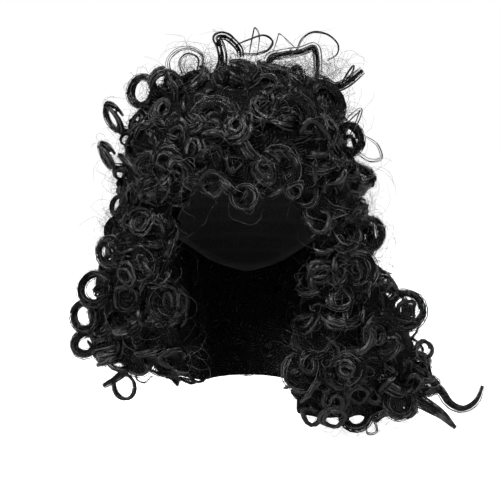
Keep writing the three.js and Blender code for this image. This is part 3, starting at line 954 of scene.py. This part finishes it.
# strands wound along guide lines: each copy of a guide takes its own place in the lock
def windStrands():
    tree, board, given = newTree("wound strands", lock["inputs"])
    guides = board.make("GeometryNodeMeshToCurve", None, {"Mesh": given["Geometry"]})
    copies = board.make(
        "GeometryNodeDuplicateElements",
        {"domain": "SPLINE"},
        {"Geometry": guides, "Amount": board.attribute("strands", "INT")},
    )
    drawn = drawLots(board, copies, given["Seed"], 1)
    lot = board.attribute("lot", "FLOAT_VECTOR")
    lotX, lotY, lotZ = (board.make("ShaderNodeSeparateXYZ", None, {0: lot}, out=axis) for axis in "XYZ")
    wave = board.make(
        "ShaderNodeTexNoise",
        {"noise_dimensions": "4D"},
        {
            "Vector": board.make("GeometryNodeInputPosition"),
            "W": lotZ * wind["waves"],
            "Scale": given["Stray Scale"],
            "Detail": 1.0,
        },
        out="Color",
    )
    turn = lotX * math.pi
    rim = wind["rim"][0] + wind["rim"][1] * board.maths("ABSOLUTE", lotY)  # most lie on the outside
    wide, thin = (board.attribute(name, "FLOAT_VECTOR") for name in ("wideReach", "thinReach"))
    wideShift = board.vector("SCALE", wide, board.maths("COSINE", turn) * rim)
    thinShift = board.vector("SCALE", thin, board.maths("SINE", turn) * rim)
    shift = board.vector("ADD", wideShift, thinShift)
    stray = strayBy(board, wave, given["Stray"])
    loose = board.vector("SCALE", stray, wind["loose"][0] + wind["loose"][1] * lotZ**3)
    offset = board.vector("ADD", shift, loose)
    moved = board.make("GeometryNodeSetPosition", None, {"Geometry": drawn, "Offset": offset})
    thick = wind["thick"][0] - wind["thick"][1] * lotZ
    radius = board.attribute("thick", "FLOAT") * given["Strand Radius"] * thick
    sweepStrands(board, moved, radius, given["Finish"])
    return tree


looseHair = {
    "inputs": {
        "Hairs per m2": 16000,
        "Hair Length": 15 * mm,
        "Hair Radius": 0.13 * mm,
        "Stray": 6 * mm,
    },
    "lengths": (0.5, 1.3),  # of the hair length
    "arc": {"Resolution": 9, "Rotations": 0.6, "Start Radius": 0.5, "End Radius": 0.25, "Height": 0.35},
    "lean": ((-0.7, -0.9, 0), (0.7, 0.5, 6.28)),
    "strayScale": 90,
    "palest": 0.95,
    "seed": 11,
    "domeLevel": -95 * mm,
    "outward": 0.25,
}


# short loose hairs all over a surface, each an arc with its foot on the surface
def strewHairs():
    tree, board, given = newTree("loose hairs", looseHair["inputs"])
    density = given["Hairs per m2"] * board.attribute("outside", "FLOAT")
    roots = board.make(
        "GeometryNodeDistributePointsOnFaces",
        {"distribute_method": "RANDOM"},
        {"Mesh": given["Geometry"], "Density": density, "Seed": given["Seed"]},
    )
    facing = Wire(board, roots.socket.node.outputs["Rotation"])
    arc = board.make("GeometryNodeCurveSpiral", None, looseHair["arc"])
    raised = board.make("GeometryNodeTransform", None, {"Geometry": arc, "Rotation": (-math.pi / 2, 0, 0)})
    start = (-looseHair["arc"]["Start Radius"], 0, 0)
    foot = board.make("GeometryNodeTransform", None, {"Geometry": raised, "Translation": start})

    def anyOf(kind, least, most):
        limits = {"Min": least, "Max": most, "Seed": given["Seed"]}
        return board.make("FunctionNodeRandomValue", {"data_type": kind}, limits)

    angles = anyOf("FLOAT_VECTOR", *looseHair["lean"])
    lean = board.make("FunctionNodeEulerToRotation", None, {"Euler": angles})
    turned = board.make(
        "FunctionNodeRotateRotation", {"rotation_space": "LOCAL"}, {"Rotation": facing, "Rotate By": lean}
    )
    length = anyOf("FLOAT", *looseHair["lengths"]) * given["Hair Length"]
    planted = board.make(
        "GeometryNodeInstanceOnPoints",
        None,
        {"Points": roots, "Instance": foot, "Rotation": turned, "Scale": length},
    )
    real = board.make("GeometryNodeRealizeInstances", None, {"Geometry": planted})
    drawn = drawLots(board, real, given["Seed"], looseHair["palest"])
    wave = board.cloud(board.make("GeometryNodeInputPosition"), looseHair["strayScale"], 1.0, "Color")
    stray = strayBy(board, wave, given["Stray"])
    moved = board.make("GeometryNodeSetPosition", None, {"Geometry": drawn, "Offset": stray})
    sweepStrands(board, moved, given["Hair Radius"], given["Finish"])
    return tree


# 1 on the outer sides of the locks, 0 on the sides that face the hollow
def markOuterSides(mesh):
    places, normals = vertexArrays(mesh)
    away = places - upward * np.minimum(places[:, 2:], looseHair["domeLevel"])
    away /= np.linalg.norm(away, axis=1)[:, None]
    outer = (np.sum(away * normals, axis=1) > looseHair["outward"]).astype(np.float32)
    mesh.attributes.new("outside", "FLOAT", "POINT").data.foreach_set("value", outer)


def link(name, mesh):
    thing = bpy.data.objects.new(name, mesh)
    scene.collection.objects.link(thing)
    return thing


# applies a thing's modifiers, so that it is a plain mesh
def makePlain(thing):
    bpy.context.view_layer.update()
    graph = bpy.context.evaluated_depsgraph_get()
    made = bpy.data.meshes.new_from_object(thing.evaluated_get(graph))
    thing.modifiers.clear()
    thing.data = made
    made.name = thing.name
    return made


# runs a tree on a mesh
def grow(name, mesh, tree, inputs):
    thing = link(name, mesh)
    modifier = thing.modifiers.new("grow", "NODES")
    modifier.node_group = tree
    for item in tree.interface.items_tree:
        if item.in_out == "INPUT" and item.name in inputs:
            modifier[item.identifier] = inputs[item.name]
    makePlain(thing)
    return thing


def triangles(mesh):
    mesh.calc_loop_triangles()
    return len(mesh.loop_triangles)


mass = {"weld": 1e-5, "voxel": 2.8 * mm, "smooth": 2, "smoothBy": 0.5, "keep": 0.3}


# the dense hair under the strands: the solid with its locks rounded off
def roundedMass(section):
    thing = link(section + "Mass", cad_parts[section + "_curls"].data.copy())
    weld = thing.modifiers.new("weld", "WELD")
    weld.merge_threshold = mass["weld"]
    remesh = thing.modifiers.new("remesh", "REMESH")
    remesh.mode = "VOXEL"
    remesh.voxel_size = mass["voxel"]
    remesh.use_smooth_shade = True
    soften = thing.modifiers.new("soften", "SMOOTH")
    soften.iterations = mass["smooth"]
    soften.factor = mass["smoothBy"]
    thin = thing.modifiers.new("thin", "DECIMATE")
    thin.ratio = mass["keep"]
    made = makePlain(thing)
    made.materials.clear()
    made.materials.append(massFinish)
    return thing


namedPlaced = listNamedCurls()
rowPlaced = listRowCurls()
print("main curls:", len(namedPlaced) + len(rowPlaced))
windTree = windStrands()
strewTree = strewHairs()


# all the hair of one section: its mass, its locks, its strands and its loose hairs
def dressSection(number, section):
    body = roundedMass(section)
    named = inSection(section, namedPlaced)
    main = named + inSection(section, rowPlaced)
    small = listSmallCurls(section, body.data, named, main)
    core = lock["looseCore"] if section == "crown" else lock["tailCore"]
    tails = [lockGuide(r["half"], r["tip"], r["route"], core) for r in inSection(section, looseLocks)]
    bodies = [curlGuide(c, "bodySteps") for c in main + small] + tails
    locks = link(section + "Locks", lockBodies(section + "Locks", bodies))
    markOuterSides(locks.data)
    guides = [curlGuide(c, "strandSteps") for c in main] + tails
    guides += [curlGuide(c, "strandSteps") for c in small]
    for r in inSection(section, flyaways):
        guides.append(lockGuide(r["half"], r["half"] / 2, r["route"], strands=r["strands"]))
    guides += frizzGuides(section, body.data)
    strands = grow(
        section + "Strands",
        guideMesh(section + "Guides", guides),
        windTree,
        {**lock["inputs"], "Seed": lock["seed"] + number, "Finish": strandFinish},
    )
    hairs = grow(
        section + "LooseHair",
        locks.data.copy(),
        strewTree,
        {**looseHair["inputs"], "Seed": looseHair["seed"] + number, "Finish": strandFinish},
    )
    pieces = (body, locks, strands, hairs)
    for piece in pieces:
        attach(piece, "root")
    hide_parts(section + "_curls")
    counts = [triangles(p.data) for p in pieces]
    print(section, len(main + small), "curls; triangles of mass, locks, strands and loose hairs:", counts)
    return sum(counts)


sections = ("fringe", "crown", "left", "right", "back")
total = sum(dressSection(number, section) for number, section in enumerate(sections))
print("hair triangles:", total)

capShell = {
    "weld": 1e-5,
    "join": {"angle_face_threshold": 0.7, "angle_shape_threshold": 0.7},
    "rimAngle": 1.0,
    "levels": 2,
}


# the cap's wall with its facets rounded off and its rim kept
def roundedCap():
    thing = link("capNet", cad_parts["cap"].data.copy())
    shell = bmesh.new()
    shell.from_mesh(thing.data)
    bmesh.ops.remove_doubles(shell, verts=shell.verts, dist=capShell["weld"])
    bmesh.ops.join_triangles(shell, faces=shell.faces, **capShell["join"])
    crease = shell.edges.layers.float.new("crease_edge")
    for edge in shell.edges:
        edge[crease] = float(edge.calc_face_angle(0) > capShell["rimAngle"])
    shell.to_mesh(thing.data)
    shell.free()
    rounding = thing.modifiers.new("rounding", "SUBSURF")
    rounding.levels = capShell["levels"]
    rounding.render_levels = capShell["levels"]
    made = makePlain(thing)
    made.shade_smooth()
    made.materials.clear()
    made.materials.append(capFinish)
    return thing


net = roundedCap()
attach(net, "root")
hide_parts("cap")
print("cap triangles:", triangles(net.data))

# stage, lights and camera
stage = {"floorGap": 2 * mm, "span": 40.0, "pale": (0.9, 0.9, 0.9, 1), "glow": 1.0, "room": 0.025}
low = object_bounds()[0]
bpy.ops.mesh.primitive_plane_add(size=stage["span"], location=(0, 0, low[2] - stage["floorGap"]))
floor = bpy.context.object
floor.name = "floor"
paper, board = newMaterial("pale paper")
seen = board.make("ShaderNodeLightPath", None, None, out="Is Camera Ray")
flat = board.make("ShaderNodeBsdfDiffuse", None, {"Color": stage["pale"]})
glow = board.make("ShaderNodeEmission", None, {"Strength": stage["glow"]})
lit = board.make("ShaderNodeAddShader", None, {0: flat, 1: glow})
sheet = board.make("ShaderNodeMixShader", None, {0: seen, 1: flat, 2: lit})
board.make("ShaderNodeOutputMaterial", None, {"Surface": sheet})
floor.data.materials.append(paper)

world = bpy.data.worlds.new("white room")
world.use_nodes = True
world.node_tree.nodes.clear()
sky = Board(world.node_tree)
seen = sky.make("ShaderNodeLightPath", None, None, out="Is Camera Ray")
bright = seen * (1 - stage["room"]) + stage["room"]  # white to look at, dimmer as a light
white = sky.make("ShaderNodeBackground", None, {"Color": (1, 1, 1, 1), "Strength": bright})
sky.make("ShaderNodeOutputWorld", None, {"Surface": white})
scene.world = world

lamps = asTable(
    ("name", "place", "size", "power"),
    ("key", (-0.6, -1.1, 1.0), 0.35, 35),
    ("fill", (0.9, -0.9, 0.5), 0.5, 8),
    ("top", (0.0, 0.1, 1.2), 0.5, 12),
    ("behind", (0.5, 1.3, 0.5), 0.6, 9),
)
lampAim = (0.0, 0.0, -0.12)


def aimed(place, target):
    return (Vector(target) - Vector(place)).to_track_quat("-Z", "Y").to_euler()


for row in lamps:
    lamp = bpy.data.lights.new(row["name"], "AREA")
    lamp.size = row["size"]
    lamp.energy = row["power"]
    thing = link(row["name"], lamp)
    thing.location = row["place"]
    thing.rotation_euler = aimed(row["place"], lampAim)

shot = {"target": (0.003, 0.0, -0.129), "distance": 1.0417, "elevation": 6, "lens": 75, "sensor": 36}
lens = bpy.data.cameras.new("camera")
lens.lens = shot["lens"]
lens.sensor_width = shot["sensor"]
camera = link("camera", lens)
rise = math.radians(shot["elevation"])
camera.location = Vector(shot["target"]) + shot["distance"] * Vector((0, -math.cos(rise), math.sin(rise)))
camera.rotation_euler = aimed(camera.location, shot["target"])
scene.camera = camera
scene.view_settings.view_transform = "Standard"

print("cad", list(cadLow), list(cadHigh))
